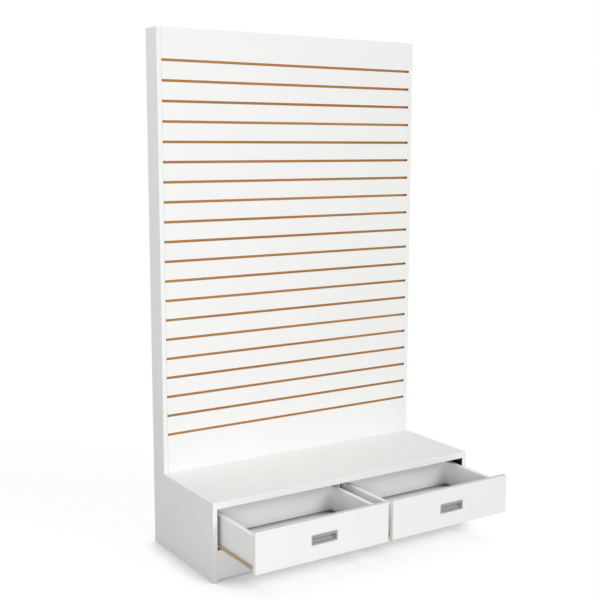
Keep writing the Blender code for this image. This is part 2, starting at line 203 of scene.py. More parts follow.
@dataclass(frozen=True)
class Finish:
    """A surface finish: two colours that a pattern mixes, its gloss, and the relief of the pattern."""

    name: str
    colour: str
    tone: str
    roughness: float
    roughness_swing: float = 0.0
    relief: float = 0.0
    relief_mm: float = 0.0
    sunk: bool = False
    metallic: float = 0.0
    ior: float = 1.5

    def material(self) -> bpy.types.Material:
        """Make the material of this finish.

        Returns:
            The new material.
        """
        material = bpy.data.materials.new(self.name)
        material.use_nodes = True
        tree = material.node_tree
        mix, height = self.pattern(tree)
        colours = {"Factor": mix, "A": linear(self.colour), "B": linear(self.tone)}
        colour = add_node(tree, "ShaderNodeMix", colours, data_type="RGBA")
        inputs = {
            "Base Color": self.dull(tree, colour),
            "Roughness": self.roughness,
            "Metallic": self.metallic,
            "IOR": self.ior,
        }
        if self.roughness_swing:
            swing = self.roughness_swing
            gloss = {"Value": mix, "To Min": self.roughness - swing, "To Max": self.roughness + swing}
            inputs["Roughness"] = add_node(tree, "ShaderNodeMapRange", gloss)
        if self.relief:
            bump = {"Height": height, "Strength": self.relief, "Distance": self.relief_mm * MM}
            inputs["Normal"] = add_node(tree, "ShaderNodeBump", bump, invert=self.sunk)
        feed(tree, tree.nodes["Principled BSDF"], inputs)
        return material

    def pattern(self, tree: Tree) -> tuple[Socket, Socket]:
        """Add the nodes of the pattern.

        Args:
            tree: The material's tree.

        Returns:
            What mixes the two colours, and what raises the surface.
        """
        raise NotImplementedError

    def dull(self, tree: Tree, colour: Socket) -> Socket:
        """Return the colour unchanged, unless a finish paints shade into its corners."""
        return colour

    @staticmethod
    def at(tree: Tree, stretch: Sequence[float] = (1.0, 1.0, 1.0)) -> Socket:
        """Return object coordinates, squeezed along each axis by a factor."""
        place = add_node(tree, "ShaderNodeTexCoord", output="Object")
        return add_node(tree, "ShaderNodeMapping", {"Vector": place, "Scale": stretch})


@dataclass(frozen=True)
class LaminatedBoard(Finish):
    """Melamine paper pressed on board: an even pale face with a faint pebble left by the press plate."""

    colour: str = "#EEEEED"
    tone: str = "#EAEAE8"
    roughness: float = 0.42
    roughness_swing: float = 0.05
    relief: float = 0.4
    relief_mm: float = 0.02
    cast_mm: float = 260.0
    pebble_mm: float = 1.6
    pebble_detail: float = 1.0

    def pattern(self, tree: Tree) -> tuple[Socket, Socket]:
        """Pebble the face and let its colour and gloss drift slightly over a hand's width.

        Args:
            tree: The material's tree.

        Returns:
            What mixes the two colours, and what raises the surface.
        """
        place = self.at(tree)
        drift = add_node(tree, "ShaderNodeTexNoise", sized(place, self.cast_mm))
        # The press plate's grain is far finer than a pixel: it is drawn as coarse as it needs to show.
        grain = sized(place, self.pebble_mm) | {"Detail": self.pebble_detail}
        return drift, add_node(tree, "ShaderNodeTexNoise", grain)


@dataclass(frozen=True)
class RoutedMdf(Finish):
    """Bare fibreboard where the router cut: warm brown felt of fibres, drawn out along the cut."""

    colour: str = "#DCA762"
    tone: str = "#F2C684"
    roughness: float = 0.9
    relief: float = 0.5
    relief_mm: float = 0.1
    fibre_mm: float = 1.2
    fibre_length_mm: float = 14.0
    fibre_detail: float = 3.0
    streak_mm: float = 90.0
    contrast: tuple[float, float] = (0.12, 0.4)

    def pattern(self, tree: Tree) -> tuple[Socket, Socket]:
        """Mix fine fibres with longer streaks where the cutter rubbed the board.

        Args:
            tree: The material's tree.

        Returns:
            What mixes the two colours, and what raises the surface.
        """
        place = self.at(tree, (self.fibre_mm / self.fibre_length_mm, 1.0, 1.0))
        felt = sized(place, self.fibre_mm) | {"Detail": self.fibre_detail}
        fibre = add_node(tree, "ShaderNodeTexNoise", felt)
        streak = add_node(tree, "ShaderNodeTexNoise", sized(place, self.streak_mm))
        both = add_node(tree, "ShaderNodeMath", {0: fibre, 1: streak}, operation="MULTIPLY")
        low, high = self.contrast
        spread = {"Value": both, "From Min": low, "From Max": high}
        return add_node(tree, "ShaderNodeMapRange", spread), fibre


@dataclass(frozen=True)
class Particleboard(Finish):
    """The sawn edge of chipboard: glued chips of several browns with pits between them."""

    colour: str = "#C7A678"
    tone: str = "#8A6A42"
    roughness: float = 0.95
    relief: float = 0.6
    relief_mm: float = 0.4
    sunk: bool = True
    chip_mm: float = 3.0

    def pattern(self, tree: Tree) -> tuple[Socket, Socket]:
        """Give every chip its own brown and sink the seams.

        Args:
            tree: The material's tree.

        Returns:
            What mixes the two colours, and what sinks the surface.
        """
        chips = add_node(tree, "ShaderNodeTexVoronoi", sized(self.at(tree), self.chip_mm), "Distance")
        browns = {"Color": chips.node.outputs["Color"]}
        return add_node(tree, "ShaderNodeSeparateColor", browns, "Red"), chips


@dataclass(frozen=True)
class PaintedHardboard(Finish):
    """Thin hardboard with a rolled coat of paint: flat, with the weave of the press screen showing."""

    colour: str = "#E6E6E3"
    tone: str = "#DDDCD6"
    roughness: float = 0.6
    relief: float = 0.25
    relief_mm: float = 0.08
    screen_mm: float = 3.393
    patch_mm: float = 70.0
    # Painted shade in corners and creases: its colour, its reach, the occlusion it spans and its rays.
    corner: str = "#DDDCD6"
    corner_mm: float = 0.0
    corner_range: tuple[float, float] = (0.5, 0.97)
    corner_rays: int = 32

    def pattern(self, tree: Tree) -> tuple[Socket, Socket]:
        """Lay a crossed screen weave under paint of uneven thickness.

        Args:
            tree: The material's tree.

        Returns:
            What mixes the two colours, and what raises the surface.
        """
        place = self.at(tree)
        screen = sized(place, self.screen_mm / WAVE_LENGTH)
        across = add_node(tree, "ShaderNodeTexWave", screen, "Fac", bands_direction="X")
        along = add_node(tree, "ShaderNodeTexWave", screen, "Fac", bands_direction="Z")
        weave = add_node(tree, "ShaderNodeMath", {0: across, 1: along}, operation="ADD")
        return add_node(tree, "ShaderNodeTexNoise", sized(place, self.patch_mm)), weave

    def dull(self, tree: Tree, colour: Socket) -> Socket:
        """Paint shade into the corners and creases where other parts close in on the board, if this
        finish gives the shade a reach.

        Args:
            tree: The material's tree.
            colour: The colour of the paint without the painted shade.

        Returns:
            The colour with painted shade in the corners.
        """
        if not self.corner_mm:
            return colour
        # Ambient occlusion mixes in the dark corner colour: this is painted shade.
        reach = {"Distance": self.corner_mm * MM}
        openness = add_node(tree, "ShaderNodeAmbientOcclusion", reach, "AO", samples=self.corner_rays)
        low, high = self.corner_range
        spread = {"Value": openness, "From Min": low, "From Max": high}
        unshaded = add_node(tree, "ShaderNodeMapRange", spread)
        colours = {"Factor": unshaded, "A": linear(self.corner), "B": colour}
        return add_node(tree, "ShaderNodeMix", colours, data_type="RGBA")


@dataclass(frozen=True)
class CoatedSteel(Finish):
    """Pressed steel under baked epoxy powder: one soft colour with the fine orange peel of powder."""

    colour: str = "#C4AD8F"
    tone: str = "#B29B7D"
    roughness: float = 0.45
    relief: float = 0.35
    relief_mm: float = 0.05
    peel_mm: float = 1.4
    fleck_mm: float = 9.0

    def pattern(self, tree: Tree) -> tuple[Socket, Socket]:
        """Ripple the coat and let its depth vary from place to place.

        Args:
            tree: The material's tree.

        Returns:
            What mixes the two colours, and what raises the surface.
        """
        place = self.at(tree)
        fleck = add_node(tree, "ShaderNodeTexNoise", sized(place, self.fleck_mm))
        return fleck, add_node(tree, "ShaderNodeTexNoise", sized(place, self.peel_mm))


@dataclass(frozen=True)
class MouldedNylon(Finish):
    """Injection-moulded nylon: waxy off-white that light enters a little, dulled where it has rolled."""

    colour: str = "#E8E4D8"
    tone: str = "#CFC9BA"
    roughness: float = 0.42
    ior: float = 1.53
    scuff_mm: float = 2.5
    scuff_detail: float = 4.0

    def pattern(self, tree: Tree) -> tuple[Socket, Socket]:
        """Dull the wax with fine scuffs.

        Args:
            tree: The material's tree.

        Returns:
            What mixes the two colours, twice, because scuffs raise nothing.
        """
        worn = sized(self.at(tree), self.scuff_mm) | {"Detail": self.scuff_detail}
        scuff = add_node(tree, "ShaderNodeTexNoise", worn)
        return scuff, scuff


@dataclass(frozen=True)
class SatinMetal(Finish):
    """Metal dulled by fine brushing: grey, with soft streaks along the brush that spread reflections."""

    colour: str = "#A2A5A5"
    tone: str = "#939696"
    roughness: float = 0.48
    roughness_swing: float = 0.06
    relief: float = 0.2
    relief_mm: float = 0.03
    metallic: float = 0.15
    hair_mm: float = 0.5
    hair_length_mm: float = 25.0

    def pattern(self, tree: Tree) -> tuple[Socket, Socket]:
        """Draw brush hairs along X into the colour, the gloss and the surface.

        Args:
            tree: The material's tree.

        Returns:
            The hairs, which both mix the two colours and raise the surface.
        """
        place = self.at(tree, (self.hair_mm / self.hair_length_mm, 1.0, 1.0))
        hair = add_node(tree, "ShaderNodeTexNoise", sized(place, self.hair_mm))
        return hair, hair


class Coat(Enum):
    """The finishes of the tower."""

    MELAMINE = LaminatedBoard("white_melamine_board")
    # Grey on the drawer fronts' top edges: painted shade on faces that turn up.
    EDGE_BAND = LaminatedBoard("shaded_grey_top_band", "#D6D6D7", "#CECECF", 0.5, cast_mm=120.0)
    # A real edge band painted whiter than the boards: painted light on the front edges, the kick rail
    # and the drawer walls' tops, where the drawers and the deck shade them.
    BRIGHT_BAND = LaminatedBoard("lightened_edge_band", "#F4F4F3", "#F2F2F1", 0.45, cast_mm=120.0)
    SLAT_FACE = LaminatedBoard(
        "white_slat_laminate", "#F1F1F0", "#EEEEED", 0.38, 0.04, relief_mm=0.015, cast_mm=320.0
    )
    # Black on the faces inside the cabinet.
    BLACK_INSIDE = LaminatedBoard("black_inside_faces", "#0D0D0E", "#121213", 0.6, cast_mm=200.0)
    SLOT_MDF = RoutedMdf("routed_mdf")
    SAWN_EDGE = Particleboard("sawn_particleboard")
    HARDBOARD = PaintedHardboard("painted_hardboard")
    # The drawers' floors, with painted shade in their corners and along the crease at the back wall.
    DRAWER_FLOOR = PaintedHardboard(
        "grey_hardboard", "#E5E4E8", "#DCDBE0", corner="#58585E", corner_mm=50.0
    )
    EPOXY = CoatedSteel("almond_epoxy_steel")
    NYLON = MouldedNylon("moulded_nylon")
    PULL_METAL = SatinMetal("silver_lacquered_steel")
    SCREW_STEEL = SatinMetal(
        "zinc_plated_steel", "#9A9B98", "#7C7E7C", 0.34, metallic=1.0, hair_mm=0.3, hair_length_mm=4.0
    )
    # The pulls' screw heads, coloured darker than the other screws.
    DARK_SCREW = SatinMetal(
        "darker_screw_steel", "#777A7B", "#5F6263", 0.42, metallic=1.0, hair_mm=0.3, hair_length_mm=4.0
    )


@dataclass
class Workshop:
    """The loaded frame with one material for each coat, and what every sub-assembly does with them."""

    nodes: dict[str, bpy.types.Object]
    materials: dict[Coat, bpy.types.Material] = field(default_factory=dict)

    def material(self, coat: Coat) -> bpy.types.Material:
        """Look up the material of a coat, which is made when it is first used.

        Args:
            coat: The coat.

        Returns:
            Its material.
        """
        if coat not in self.materials:
            self.materials[coat] = coat.value.material()
        return self.materials[coat]

    def paint(self, node: str, coat: Coat, sides: dict[Side, Coat] | None = None) -> None:
        """Give a CAD node its coats.

        Args:
            node: Name of the CAD node.
            coat: The coat of all faces that no side claims.
            sides: Coats of the faces that lie on a side of the node's own box.
        """
        low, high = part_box(node)
        mesh = self.nodes[node].data
        coats = [coat, *dict.fromkeys((sides or {}).values())]
        mesh.materials.clear()
        for each in coats:
            mesh.materials.append(self.material(each))
        claims = []
        for side, own in (sides or {}).items():
            out = Vector(side.value)
            claims.append((out, max(low.dot(out), high.dot(out)), coats.index(own)))
        for face in mesh.polygons:
            face.material_index = 0
            for out, reach, index in claims:
                if abs(face.center.dot(out) - reach) < ON_SIDE and face.normal.dot(out) > FACING:
                    face.material_index = index
        LOG.info("painted %s with %s", node, ", ".join(each.value.name for each in coats))

    def add_piece(
        self,
        name: str,
        mesh: bpy.types.Mesh,
        coat: Coat,
        body: str,
        slot: str,
        replaces: Sequence[str] = (),
    ) -> None:
        """Make a finished piece that rides on a body.

        Args:
            name: Name of the piece.
            mesh: Its mesh, already in place.
            coat: Its finish.
            body: The CAD body that carries it.
            slot: Not used.
            replaces: CAD nodes that it stands for.
        """
        mesh.name = name
        mesh.materials.clear()
        mesh.materials.append(self.material(coat))
        mesh.shade_smooth()
        mesh.set_sharp_from_angle(angle=math.radians(SMOOTH_ANGLE_DEG))
        piece = put(name, mesh)
        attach(piece, body)
        if replaces:
            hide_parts(*replaces)
        LOG.info("made %s on %s, %d faces", name, body, len(mesh.polygons))


def mesh_of(bm: bmesh.types.BMesh) -> bpy.types.Mesh:
    """Turn a bmesh into a mesh with its faces outwards, and free it.

    Args:
        bm: The bmesh, which is gone afterwards.

    Returns:
        The mesh.
    """
    bmesh.ops.recalc_face_normals(bm, faces=bm.faces)
    mesh = bpy.data.meshes.new("mesh")
    bm.to_mesh(mesh)
    bm.free()
    return mesh


def arc(
    centre: tuple[float, float], radius: float, start_deg: float, end_deg: float, steps: int
) -> list[tuple[float, float]]:
    """Return points along a circular arc.

    Args:
        centre: Middle of the circle.
        radius: Its radius.
        start_deg: Angle of the first point.
        end_deg: Angle of the last point.
        steps: Number of stretches between the points.

    Returns:
        One more point than there are steps.
    """
    points = []
    for i in range(steps + 1):
        angle = math.radians(start_deg + (end_deg - start_deg) * i / steps)
        points.append((centre[0] + radius * math.cos(angle), centre[1] + radius * math.sin(angle)))
    return points


def loft(loops: Sequence[Sequence[Vector]], closed: bool) -> bpy.types.Mesh:
    """Bridge loops of as many points each.

    Args:
        loops: The loops in order.
        closed: Whether the last loop joins the first. If not, both ends are filled.

    Returns:
        The mesh.
    """
    bm = bmesh.new()
    rings = [[bm.verts.new(point) for point in loop] for loop in loops]
    pairs = list(zip(rings, rings[1:]))
    if closed:
        pairs.append((rings[-1], rings[0]))
    for ring, following in pairs:
        for i, vert in enumerate(ring):
            j = (i + 1) % len(ring)
            bm.faces.new((vert, ring[j], following[j], following[i]))
    if not closed:
        bm.faces.new(rings[0])
        bm.faces.new(rings[-1])
    return mesh_of(bm)


@dataclass(frozen=True)
class ScrewHead:
    """A domed screw head with a cross recess."""

    diameter: float
    height: float
    coat: Coat
    slot: str


RUNNER_SCREW = ScrewHead(0.0068, 0.0009, Coat.SCREW_STEEL, "almond_epoxy")
BOX_SCREW = ScrewHead(0.0085, 0.0024, Coat.SCREW_STEEL, "satin_metal")
BACK_SCREW = ScrewHead(0.0070, 0.0004, Coat.SCREW_STEEL, "hardboard")
PULL_SCREW = ScrewHead(0.0066, 0.0016, Coat.DARK_SCREW, "satin_metal")


@dataclass(frozen=True)
class ScrewRow:
    """A straight row of screws: its start, its step, the way the heads face and how many there are."""

    start: Vector
    step: Vector
    facing: Side
    count: int

    def turn(self) -> Vector:
        """Find how a row that lies along X and faces up has to be turned.

        Returns:
            The Euler angles that take +X along the row and +Z to the way the heads face.
        """
        out = Vector(self.facing.value)
        along = self.step.normalized()
        return Vector(Matrix((along, out.cross(along), out)).transposed().to_euler())


class ScrewRows:
    """A Geometry Nodes tree that makes a row of screw heads, and the pieces made with it."""

    INPUTS = (
        ("Count", "NodeSocketInt"),
        ("Spacing", "NodeSocketFloat"),
        ("Head radius", "NodeSocketFloat"),
        ("Head height", "NodeSocketFloat"),
        ("Place", "NodeSocketVector"),
        ("Turn", "NodeSocketVector"),
        ("Seed", "NodeSocketInt"),
        ("Finish", "NodeSocketMaterial"),
    )
    HEAD_POINTS = 20
    HEAD_RINGS = 3
    DOME = 0.45
    RECESS_LENGTH = 1.15
    RECESS_WIDTH = 0.26
    RECESS_RISE = 0.85
    SEED = 7

    def __init__(self, workshop: Workshop) -> None:
        """Build the tree.

        Args:
            workshop: Gives the materials and takes the pieces.
        """
        self.workshop = workshop
        self.tree = bpy.data.node_groups.new("screw_row", "GeometryNodeTree")
        for name, kind in self.INPUTS:
            self.tree.interface.new_socket(name, in_out="INPUT", socket_type=kind)
        self.tree.interface.new_socket("Geometry", in_out="OUTPUT", socket_type="NodeSocketGeometry")
        self._build()

    def _dome(self, radius: Socket, height: Socket) -> Socket:
        """Raise a domed head on the origin, facing +Z.

        Args:
            radius: The head's radius.
            height: The head's height.

        Returns:
            The head's geometry, with no recess.
        """
        tree = self.tree
        size = {
            "Vertices": self.HEAD_POINTS,
            "Side Segments": self.HEAD_RINGS,
            "Radius Top": radius,
            "Radius Bottom": radius,
            "Depth": height,
        }
        blank = add_node(tree, "GeometryNodeMeshCone", size, "Mesh")
        place = add_node(tree, "GeometryNodeInputPosition")
        level = add_node(tree, "ShaderNodeSeparateXYZ", {0: place}, "Z")
        rise = add_node(tree, "ShaderNodeMath", {0: level, 1: height}, operation="DIVIDE")
        square = add_node(tree, "ShaderNodeMath", {0: rise, 1: rise}, operation="MULTIPLY")
        shrink = add_node(tree, "ShaderNodeMath", {0: square, 1: self.DOME}, operation="MULTIPLY")
        rest = add_node(tree, "ShaderNodeMath", {0: 1.0, 1: shrink}, operation="SUBTRACT")
        width = add_node(tree, "ShaderNodeMath", {0: rest}, operation="SQRT")
        factors = add_node(tree, "ShaderNodeCombineXYZ", {"X": width, "Y": width, "Z": 1.0})
        domed = add_node(tree, "ShaderNodeVectorMath", {0: place, 1: factors}, operation="MULTIPLY")
        return add_node(tree, "GeometryNodeSetPosition", {"Geometry": blank, "Position": domed})

    def _head(self, radius: Socket, height: Socket) -> Socket:
        """Make one head on the origin, facing +Z, with its recess cut.

        Args:
            radius: The head's radius.
            height: The head's height.

        Returns:
            The head's geometry.
        """
        tree = self.tree
        solid = {"Mesh 1": self._dome(radius, height)}
        cut = add_node(
            tree, "GeometryNodeMeshBoolean", solid, "Mesh", operation="DIFFERENCE", solver="EXACT"
        )
        shares = ((radius, self.RECESS_LENGTH), (radius, self.RECESS_WIDTH), (height, self.RECESS_RISE))
        length, width, rise = (
            add_node(tree, "ShaderNodeMath", {0: whole, 1: share}, operation="MULTIPLY")
            for whole, share in shares
        )
        size = add_node(tree, "ShaderNodeCombineXYZ", {"X": length, "Y": width, "Z": height})
        lift = add_node(tree, "ShaderNodeCombineXYZ", {"Z": rise})
        bar = add_node(tree, "GeometryNodeMeshCube", {"Size": size}, "Mesh")
        for angle in (0.0, QUARTER_TURN):
            turned = {"Geometry": bar, "Translation": lift, "Rotation": (0.0, 0.0, angle)}
            feed(tree, cut.node, {"Mesh 2": add_node(tree, "GeometryNodeTransform", turned)})
        return cut

    def _build(self) -> None:
        """Instance the head along a line, turn each by chance, and put the row in its place."""
        tree = self.tree
        given = add_node(tree, "NodeGroupInput").node.outputs
        head = self._head(given["Head radius"], given["Head height"])
        step = add_node(tree, "ShaderNodeCombineXYZ", {"X": given["Spacing"]})
        along = {"Count": given["Count"], "Offset": step}
        line = add_node(tree, "GeometryNodeMeshLine", along, mode="OFFSET")
        chance = {"Min": 0.0, "Max": QUARTER_TURN, "Seed": given["Seed"]}
        drawn = add_node(tree, "FunctionNodeRandomValue", chance, data_type="FLOAT")
        spin = add_node(tree, "ShaderNodeCombineXYZ", {"Z": drawn})
        spin_turn = add_node(tree, "FunctionNodeEulerToRotation", {"Euler": spin})
        copies = {"Points": line, "Instance": head, "Rotation": spin_turn}
        heads = add_node(tree, "GeometryNodeInstanceOnPoints", copies)
        row_turn = add_node(tree, "FunctionNodeEulerToRotation", {"Euler": given["Turn"]})
        move = {"Geometry": heads, "Translation": given["Place"], "Rotation": row_turn}
        placed = add_node(tree, "GeometryNodeTransform", move)
        solid = add_node(tree, "GeometryNodeRealizeInstances", {"Geometry": placed})
        finish = {"Geometry": solid, "Material": given["Finish"]}
        dressed = add_node(tree, "GeometryNodeSetMaterial", finish)
        add_node(tree, "NodeGroupOutput", {"Geometry": dressed})

    def _row(self, row: ScrewRow, head: ScrewHead) -> bpy.types.Mesh:
        """Make the mesh of one row.

        Args:
            row: Where the row runs.
            head: The kind of screw.

        Returns:
            A plain mesh of all its heads.
        """
        values = {
            "Count": row.count,
            "Spacing": row.step.length,
            "Head radius": head.diameter / 2,
            "Head height": head.height,
            "Place": row.start,
            "Turn": row.turn(),
            "Seed": self.SEED,
            "Finish": self.workshop.material(head.coat),
        }
        blank = put("row", bpy.data.meshes.new("row"))
        modifier = blank.modifiers.new("row", "NODES")
        modifier.node_group = self.tree
        for item in self.tree.interface.items_tree:
            if item.in_out == "INPUT":
                modifier[item.identifier] = values[item.name]
        graph = bpy.context.evaluated_depsgraph_get()
        mesh = bpy.data.meshes.new_from_object(blank.evaluated_get(graph), depsgraph=graph)
        bpy.data.objects.remove(blank, do_unlink=True)
        return mesh

    def add(self, name: str, rows: Iterable[ScrewRow], head: ScrewHead, body: str) -> None:
        """Make one piece of several rows.

        Args:
            name: Name of the piece.
            rows: Its rows.
            head: The kind of screw.
            body: The CAD body that the screws go into.
        """
        bm = bmesh.new()
        for row in rows:
            mesh = self._row(row, head)
            bm.from_mesh(mesh)
            bpy.data.meshes.remove(mesh)
        self.workshop.add_piece(name, mesh_of(bm), head.coat, body, head.slot)


@dataclass
class Tower:
    """The hollow tower: its coats, and the screws that hold its back panel."""

    workshop: Workshop
    screws: ScrewRows
    stretchers: tuple[str, str] = ("tower_lower_stretcher", "tower_upper_stretcher")
    screw_edge: float = 0.0065
    upright_screws: int = 11
    cross_screws: int = 5

    def dress(self) -> None:
        """Paint the boards as the real ones are faced."""
        white = Coat.MELAMINE
        sawn = {Side.UNDER: Coat.SAWN_EDGE}
        for node, inside in (("left_upright", Side.RIGHT), ("right_upright", Side.LEFT)):
            faces = {Side.FRONT: Coat.SLAT_FACE, inside: Coat.SAWN_EDGE}
            self.workshop.paint(node, white, sawn | faces)
        for node in ("tower_top_cap", "tower_bottom_plate"):
            self.workshop.paint(node, white, sawn)
        for node in self.stretchers:
            self.workshop.paint(node, white)
        faced = [Side.FRONT, Side.TOP, Side.BACK, Side.LEFT, Side.RIGHT]
        self.workshop.paint("slatwall_panel", Coat.SLOT_MDF, dict.fromkeys(faced, Coat.SLAT_FACE))
        self.workshop.paint("tower_back_panel", Coat.HARDBOARD)

    def fasten(self) -> None:
        """Screw the back panel to the uprights and to the cross boards."""
        low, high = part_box("tower_back_panel")
        rows = []
        rise = (high.z - low.z - 2 * self.screw_edge) / (self.upright_screws - 1)
        for x in (low.x + self.screw_edge, high.x - self.screw_edge):
            start = Vector((x, high.y, low.z + self.screw_edge))
            rows.append(ScrewRow(start, Vector((0, 0, rise)), Side.BACK, self.upright_screws))
        for node in self.stretchers:
            board_low, board_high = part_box(node)
            step = (board_high.x - board_low.x) / (self.cross_screws + 1)
            start = Vector((board_low.x + step, high.y, (board_low.z + board_high.z) / 2))
            rows.append(ScrewRow(start, Vector((step, 0, 0)), Side.BACK, self.cross_screws))
        self.screws.add("tower_back_screws", rows, BACK_SCREW, FRAME_BODY)


@dataclass
class BaseCabinet:
    """The low cabinet under the deck, white outside and black inside."""

    workshop: Workshop

    def dress(self) -> None:
        """Paint the boards white where they show and black where they face the drawers."""
        # The whiter band on the front edges and on the whole kick rail is painted light.
        white, lit_band = Coat.MELAMINE, Coat.BRIGHT_BAND
        black, sawn = Coat.BLACK_INSIDE, Coat.SAWN_EDGE
        for node, inside in (("base_left_side", Side.RIGHT), ("base_right_side", Side.LEFT)):
            self.workshop.paint(node, white, {Side.FRONT: lit_band, inside: black, Side.UNDER: sawn})
        self.workshop.paint("base_deck", white, {Side.FRONT: lit_band})
        self.workshop.paint("base_kick_rail", lit_band, {Side.BACK: black, Side.UNDER: sawn})
        self.workshop.paint("base_back_panel", Coat.HARDBOARD, {Side.FRONT: black})
        self.workshop.paint("base_centre_divider", white, {Side.UNDER: sawn})


@dataclass
class Pull:
    """The recessed pull of a drawer: a metal cup pressed into a flat rim that is wider over the cup."""

    workshop: Workshop
    screws: ScrewRows
    hand: Hand
    rim: float = 0.0065
    brow: float = 0.004
    sheet: float = 0.0012
    dish: float = 0.005
    corner: float = 0.003
    lip_radius: float = 0.0006
    corner_steps: int = 6
    dish_steps: int = 10
    lip_steps: int = 3
    screw_end: float = 0.0155

    def _loop(self, inset: float, brow: float, y: float, box: tuple[Vector, Vector]) -> list[Vector]:
        """Return a rounded rectangle set in from the edge of the rim.

        Args:
            inset: How far it is set in all round.
            brow: How much further it is set in at its top.
            y: Its depth.
            box: Corners of the CAD pull.

        Returns:
            The points in order.
        """
        low, high = box
        middle = (low + high) / 2
        reach_x = (high.x - low.x) / 2 - inset - self.corner
        reach_z = (high.z - low.z - brow) / 2 - inset - self.corner
        points = []
        for right, up, start in ((1, 1, 0.0), (-1, 1, 90.0), (-1, -1, 180.0), (1, -1, 270.0)):
            centre = (middle.x + right * reach_x, middle.z - brow / 2 + up * reach_z)
            ring = arc(centre, self.corner, start, start + 90.0, self.corner_steps)
            points.extend(Vector((x, y, z)) for x, z in ring)
        return points

    def _cup(self, rim: float, mouth: float, floor: float) -> list[tuple[float, float, float]]:
        """Return the dished wall of the cup.

        Args:
            rim: How far the mouth is set in from the edge.
            mouth: Y of the mouth.
            floor: Y of the floor.

        Returns:
            Inset, brow and Y of each loop, from the floor out.
        """
        wall = []
        for across, deep in arc((0.0, 0.0), 1.0, 90.0, 0.0, self.dish_steps):
            wall.append((rim + self.dish * (1.0 - across), self.brow, mouth + (floor - mouth) * deep))
        return wall

    def _profile(self, front: float, back: float, floor: float) -> list[tuple[float, float, float]]:
        """Return the loops from the middle of the cup's floor, over the rim, to the cup's back.

        Args:
            front: Y of the rim's face.
            back: Y of the rim's underside.
            floor: Y of the cup's floor.

        Returns:
            Inset, brow and Y of each loop, front side first.
        """
        lip = self.lip_radius
        inner = arc((self.rim - lip, front + lip), lip, 0.0, -90.0, self.lip_steps)
        outer = arc((lip, front + lip), lip, -90.0, -180.0, self.lip_steps)
        loops = self._cup(self.rim, front + lip, floor)
        loops += [(inset, self.brow, y) for inset, y in inner[1:]]
        loops += [(inset, 0.0, y) for inset, y in outer]
        loops.append((0.0, 0.0, back))
        loops += reversed(self._cup(self.rim - self.sheet, back, floor + self.sheet))
        return loops

    def build(self) -> None:
        """Press the cup and put a screw near each end of its floor."""
        drawer = self.hand.drawer
        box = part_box(f"{drawer}_pull")
        low, high = box
        floor = high.y - self.sheet
        profile = self._profile(low.y, low.y + self.sheet, floor)
        mesh = loft([self._loop(inset, brow, y, box) for inset, brow, y in profile], False)
        name = f"{drawer}_pressed_pull"
        self.workshop.add_piece(name, mesh, Coat.PULL_METAL, drawer, "satin_metal", [f"{drawer}_pull"])
        first = Vector((low.x + self.screw_end, floor, (low.z + high.z - self.brow) / 2))
        step = Vector((high.x - low.x - 2 * self.screw_end, 0, 0))
        row = ScrewRow(first, step, Side.FRONT, 2)
        self.screws.add(f"{drawer}_pull_screws", [row], PULL_SCREW, drawer)


